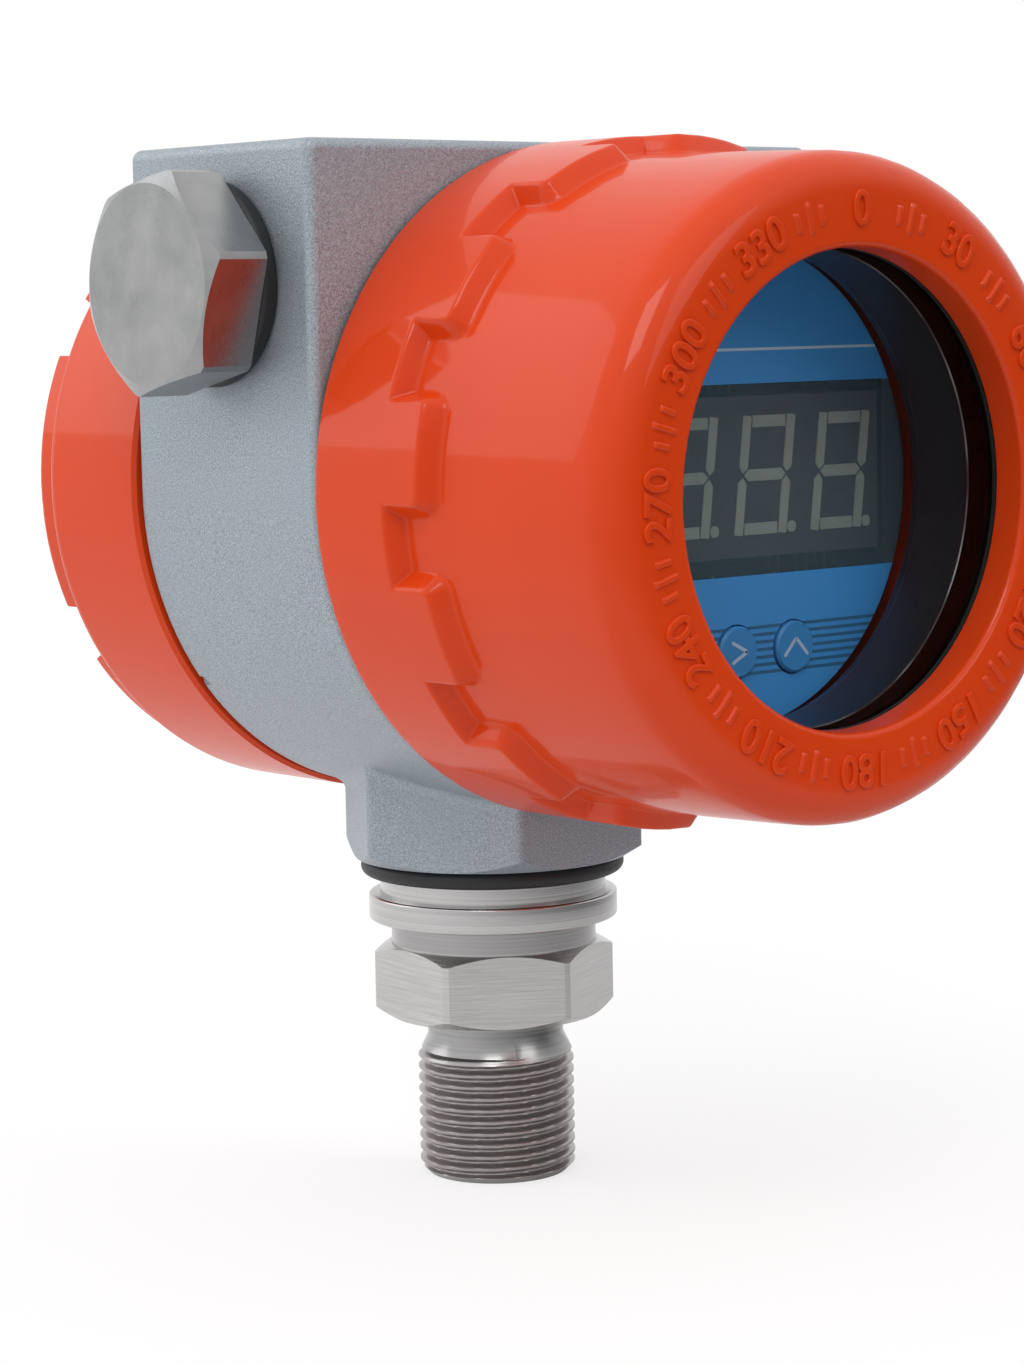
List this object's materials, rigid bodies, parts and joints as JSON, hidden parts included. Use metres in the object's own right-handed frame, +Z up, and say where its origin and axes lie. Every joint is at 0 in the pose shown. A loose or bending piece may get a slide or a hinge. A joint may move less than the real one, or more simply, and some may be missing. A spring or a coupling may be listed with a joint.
{
  "type": "pressure transmitter",
  "caption": "Explosion-proof pressure transmitter: square-shouldered drum housing with screwed covers, a round LED window, hexagonal blind plug, cable gland and a threaded process stem.",
  "frame": {"origin": "on the axis of the process thread, where its full diameter begins", "axes": "+Z up along the process thread and neck, -Y the way the window cover faces, +X the way the cable gland points"},
  "size_m": [0.1141, 0.1081, 0.1305],
  "materials": {
    "cover_paint": "glossy orange powder coat",
    "housing_paint": "satin silver-grey metallic lacquer with a fine grain",
    "stainless": "turned and milled stainless steel",
    "nickel_brass": "nickel-plated brass, satin",
    "black_anodised": "black anodised, satin",
    "window_glass": "clear toughened glass",
    "black_rubber": "matt",
    "plate_print": "blue printed film, dark smoked window area beside it",
    "smoked_film": "smoked, slightly glossy",
    "led_grey": "grey potting face with pale digit segments",
    "key_blue": "blue, satin",
    "black_plastic": "black moulded plastic",
    "board_green": "solder resist",
    "potting": "epoxy",
    "plated_steel": "zinc-plated steel",
    "brass": "turned brass",
    "ribbon_grey": "grey insulation"
  },
  "bodies": {
    "housing": {"housing_body": "housing_paint", "faceplate": "plate_print", "led_window": "smoked_film", "led_module": "led_grey", "display_carrier": "black_plastic", "key_switches": "black_plastic", "display_pcb": "board_green", "main_pcb": "board_green", "lower_standoffs": "brass", "upper_standoffs": "brass", "display_screws": "plated_steel", "converter_module": "potting", "board_header": "black_plastic", "feedthrough_bush": "potting", "signal_ribbon": "ribbon_grey", "sensor_leads": "ribbon_grey", "terminal_block": "black_plastic", "terminal_clamps": "nickel_brass", "terminal_screws": "nickel_brass", "block_screws": "plated_steel", "inner_earth_screw": "plated_steel", "entry_plug": "stainless", "plug_washer": "black_rubber", "gland_o_ring": "black_rubber", "gland_body": "nickel_brass", "earth_washer": "plated_steel", "earth_screw": "plated_steel", "process_connector": "stainless", "neck_o_ring": "black_rubber", "sensor_seal": "black_rubber", "sensor_capsule": "stainless", "sensor_retainer": "stainless"},
    "window_cover_seal": {"front_cover_o_ring": "black_rubber"},
    "window_cover": {"front_cover": "cover_paint", "window_gasket": "black_rubber", "window_glass": "window_glass", "glass_retaining_ring": "black_anodised"},
    "blind_cover_seal": {"rear_cover_o_ring": "black_rubber"},
    "blind_cover": {"rear_cover": "cover_paint"},
    "gland_bush": {"gland_seal": "black_rubber"},
    "gland_nut": {"gland_nut": "nickel_brass"},
    "set_key": {"set_key": "key_blue"},
    "shift_key": {"shift_key": "key_blue"},
    "up_key": {"up_key": "key_blue"}
  },
  "joints": [
    {"name": "window_cover_turn", "type": "hinge", "parent": "housing", "child": "window_cover_seal", "pos_m": [0, 0, 0.0882], "axis": [0, -1, 0], "range_deg": [0, 3600]},
    {"name": "window_cover_slide", "type": "slide", "parent": "window_cover_seal", "child": "window_cover", "axis": [0, -1, 0], "range_m": [0, 0.015]},
    {"name": "blind_cover_turn", "type": "hinge", "parent": "housing", "child": "blind_cover_seal", "pos_m": [0, 0, 0.0882], "axis": [0, 1, 0], "range_deg": [0, 3600]},
    {"name": "blind_cover_slide", "type": "slide", "parent": "blind_cover_seal", "child": "blind_cover", "axis": [0, 1, 0], "range_m": [0, 0.015]},
    {"name": "gland_nut_turn", "type": "hinge", "parent": "housing", "child": "gland_bush", "pos_m": [0, 0, 0.1129], "axis": [1, 0, 0], "range_deg": [0, 1800]},
    {"name": "gland_nut_slide", "type": "slide", "parent": "gland_bush", "child": "gland_nut", "axis": [1, 0, 0], "range_m": [0, 0.0075]},
    {"name": "set_key_press", "type": "slide", "parent": "housing", "child": "set_key", "axis": [0, 1, 0], "range_m": [0, 0.0004], "stiffness_N_per_m": 600},
    {"name": "shift_key_press", "type": "slide", "parent": "housing", "child": "shift_key", "axis": [0, 1, 0], "range_m": [0, 0.0004], "stiffness_N_per_m": 600},
    {"name": "up_key_press", "type": "slide", "parent": "housing", "child": "up_key", "axis": [0, 1, 0], "range_m": [0, 0.0004], "stiffness_N_per_m": 600}
  ],
  "couplings": [
    {"joint": "window_cover_slide", "follows": "window_cover_turn", "m_per_rad": 0.00023873},
    {"joint": "blind_cover_slide", "follows": "blind_cover_turn", "m_per_rad": 0.00023873},
    {"joint": "gland_nut_slide", "follows": "gland_nut_turn", "m_per_rad": 0.00023873}
  ]
}
